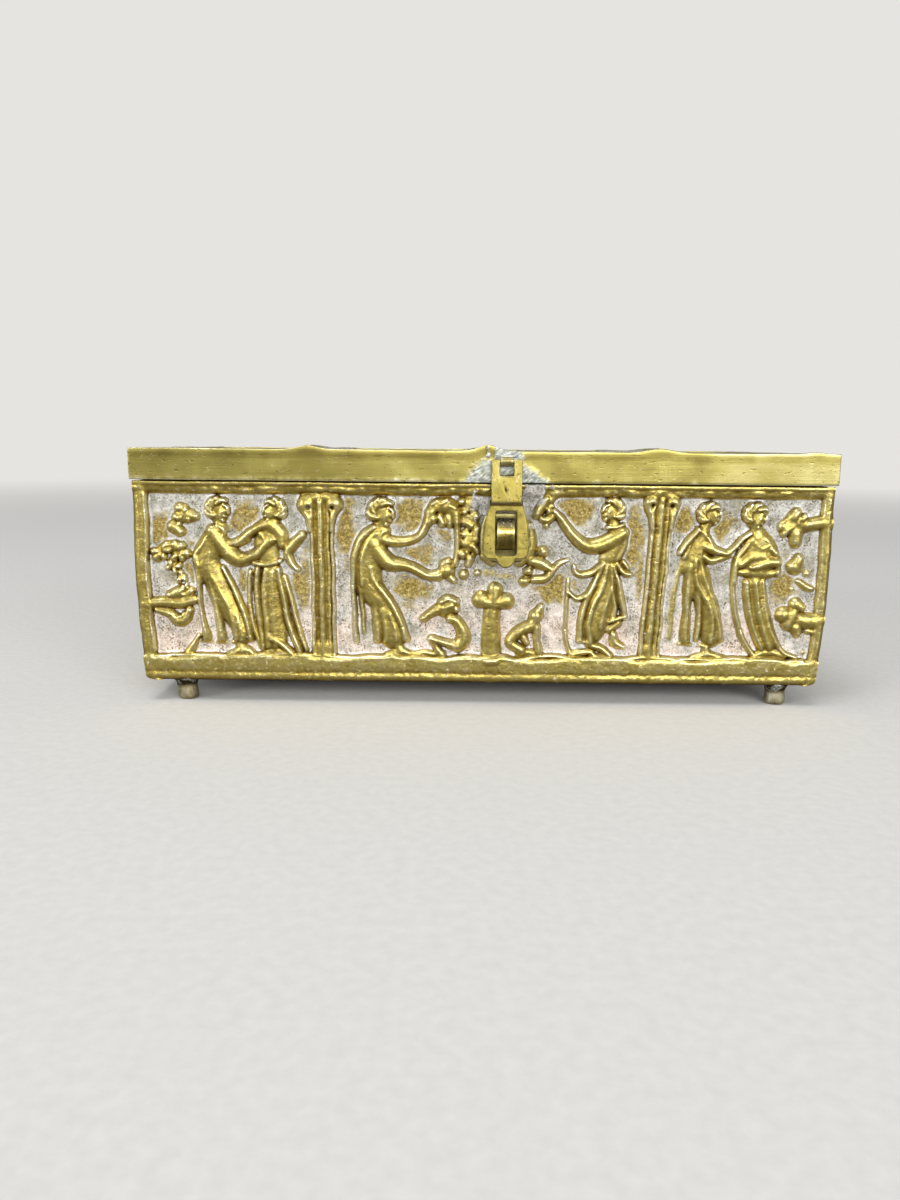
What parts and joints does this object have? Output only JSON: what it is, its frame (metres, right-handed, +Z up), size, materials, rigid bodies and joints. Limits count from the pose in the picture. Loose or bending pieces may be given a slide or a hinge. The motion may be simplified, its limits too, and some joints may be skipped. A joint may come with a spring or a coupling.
{
  "type": "relief casket",
  "caption": "Rectangular cast brass casket with robed figures in relief, a hinged lid, a slotted hasp over a padlock staple, and small turned feet.",
  "frame": {"origin": "bottom centre of the whole object's box, on the surface the feet stand on", "axes": "+X to the right along the front, +Y from the front with the hasp to the back with the hinges, +Z up"},
  "size_m": [0.25, 0.1416, 0.0935],
  "materials": {
    "cast_brass": "cast, polished on the high parts, with a chalky grey patina in the recesses",
    "rim_sheet": "satin, filed lengthwise",
    "fitting_brass": "worn satin",
    "soldered_plate": "dull, smeared with grey solder",
    "floor_sheet": "unpolished sheet",
    "foot_metal": "dull, worn bright at the tip",
    "pin_wire": "drawn wire"
  },
  "bodies": {
    "casket": {"front_wall": "cast_brass", "back_wall": "cast_brass", "left_wall": "cast_brass", "right_wall": "cast_brass", "floor_plate": "floor_sheet", "foot_front_left": "foot_metal", "foot_back_left": "foot_metal", "foot_front_right": "foot_metal", "foot_back_right": "foot_metal", "hasp_backplate": "soldered_plate", "padlock_staple": "fitting_brass", "hinge_body_leaf_left": "fitting_brass", "hinge_body_leaf_right": "fitting_brass", "hinge_pin_left": "pin_wire", "hinge_pin_right": "pin_wire"},
    "lid": {"lid_plaque": "cast_brass", "lid_front_rim": "rim_sheet", "lid_back_rim": "rim_sheet", "lid_left_rim": "rim_sheet", "lid_right_rim": "rim_sheet", "hasp_loop": "fitting_brass", "hinge_lid_leaf_left": "fitting_brass", "hinge_lid_leaf_right": "fitting_brass"},
    "hasp": {"hasp": "fitting_brass"}
  },
  "joints": [
    {"name": "lid_hinge", "type": "hinge", "parent": "casket", "child": "lid", "pos_m": [0, 0.06646, 0.08065], "axis": [-1, 0, 0], "range_deg": [0, 105]},
    {"name": "hasp_swing", "type": "hinge", "parent": "lid", "child": "hasp", "pos_m": [0.0079, -0.06664, 0.0884], "axis": [-1, 0, 0], "range_deg": [-6.5, 155]}
  ]
}
